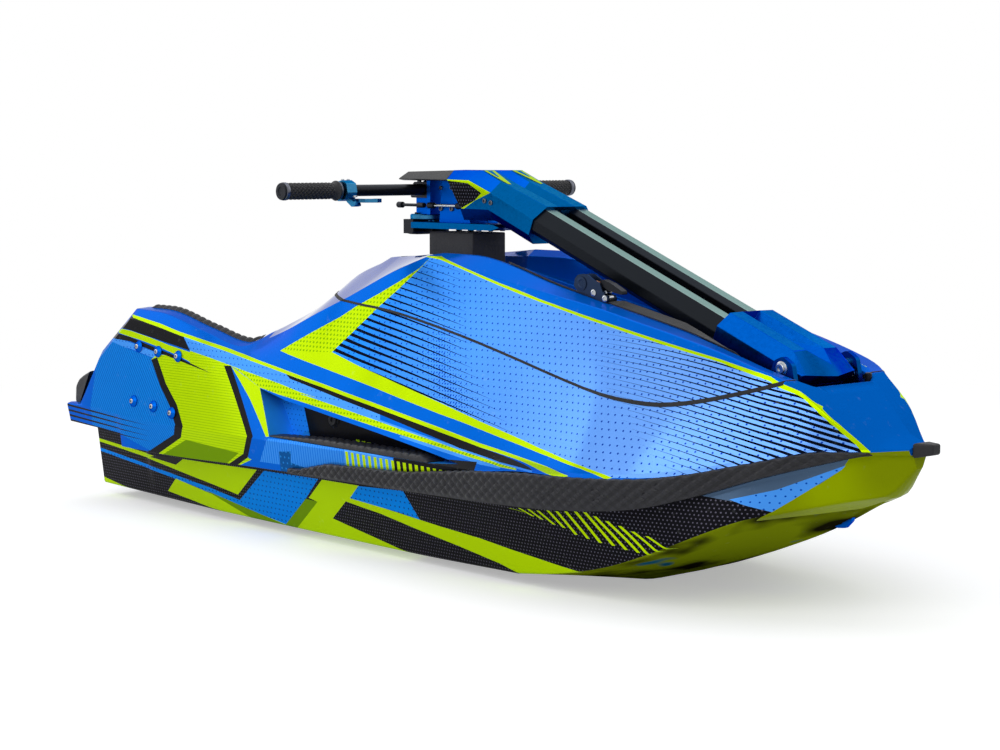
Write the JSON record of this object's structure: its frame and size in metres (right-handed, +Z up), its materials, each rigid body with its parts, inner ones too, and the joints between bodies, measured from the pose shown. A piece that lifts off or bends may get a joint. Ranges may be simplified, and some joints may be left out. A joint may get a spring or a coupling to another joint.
{
  "type": "stand up personal watercraft",
  "caption": "Stand-up jet watercraft with a rear tray, lift-off hood, raised handle pole with handlebar, and a steerable jet nozzle.",
  "frame": {"origin": "under the middle of the craft, on the floor that its flat keel pad rests on", "axes": "+X forward to the bow, +Y to port, +Z up"},
  "size_m": [2.05, 0.74, 0.713],
  "materials": {
    "hull_gelcoat": "gloss",
    "deck_gelcoat": "gloss",
    "seal_rubber": "matt",
    "rail_rubber": "matt, diamond textured",
    "foam_pad": "matt foam",
    "stop_rubber": "matt",
    "anodised_blue": "anodised satin",
    "satin_black_tube": "anodised satin",
    "black_cover": "matt",
    "black_steel": "satin",
    "bright_steel": "brushed",
    "cast_alloy": "cast satin",
    "grip_rubber": "matt, ribbed",
    "foothold_laminate": "satin",
    "strap_webbing": "woven",
    "engine_iron": "cast"
  },
  "bodies": {
    "root": {"hull": "hull_gelcoat", "deck": "deck_gelcoat", "hood": "deck_gelcoat", "hood_seal": "seal_rubber", "bond_rail_right": "rail_rubber", "bond_rail_left": "rail_rubber", "nose_bumper": "rail_rubber", "tray_mat": "foam_pad", "gunwale_pad_right": "foam_pad", "gunwale_pad_left": "foam_pad", "stern_pad_right": "foam_pad", "stern_pad_left": "foam_pad", "pole_rest_block": "foam_pad", "pole_mount": "anodised_blue", "tow_eye": "anodised_blue", "foothold_bolts_right": "anodised_blue", "foothold_bolts_left": "anodised_blue", "side_plug_right": "black_cover", "side_plug_left": "black_cover", "ratchet_buckle": "black_steel", "pole_pivot_pin": "bright_steel", "pump_housing": "cast_alloy", "ride_plate": "cast_alloy", "intake_grate": "cast_alloy", "foothold_right": "foothold_laminate", "foothold_left": "foothold_laminate", "hood_strap": "strap_webbing", "engine_block": "engine_iron"},
    "pole": {"pole_tube_right": "satin_black_tube", "pole_tube_left": "satin_black_tube", "pole_base_bracket": "anodised_blue", "pole_head_bracket": "anodised_blue", "head_plate": "anodised_blue", "head_cover": "black_cover", "pole_stops": "stop_rubber", "steering_rod": "bright_steel"},
    "handlebar": {"handlebar": "black_steel", "steering_stem": "anodised_blue", "grip_right": "grip_rubber", "grip_left": "grip_rubber", "throttle_lever": "anodised_blue", "trim_lever": "anodised_blue"},
    "trim_ring": {"trim_ring": "cast_alloy"},
    "steering_nozzle": {"steering_nozzle": "cast_alloy"},
    "impeller": {"impeller": "bright_steel", "driveshaft": "bright_steel"}
  },
  "joints": [
    {"name": "pole_lift", "type": "hinge", "parent": "root", "child": "pole", "pos_m": [0.78, 0, 0.4], "axis": [0, 1, 0], "range_deg": [0, 75]},
    {"name": "steering", "type": "hinge", "parent": "pole", "child": "handlebar", "pos_m": [-0.21, 0, 0.677], "axis": [0, 0, 1], "range_deg": [-35, 35]},
    {"name": "nozzle_trim", "type": "hinge", "parent": "root", "child": "trim_ring", "pos_m": [-0.845, 0, 0.09], "axis": [0, 1, 0], "range_deg": [-8, 10]},
    {"name": "nozzle_swing", "type": "hinge", "parent": "trim_ring", "child": "steering_nozzle", "pos_m": [-0.903, 0, 0.09], "axis": [0, 0, 1], "range_deg": [-17.5, 17.5]},
    {"name": "impeller_spin", "type": "hinge", "parent": "root", "child": "impeller", "pos_m": [-0.7, 0, 0.09], "axis": [1, 0, 0], "continuous": true}
  ],
  "couplings": [
    {"joint": "nozzle_swing", "follows": "steering", "ratio": -0.5}
  ]
}
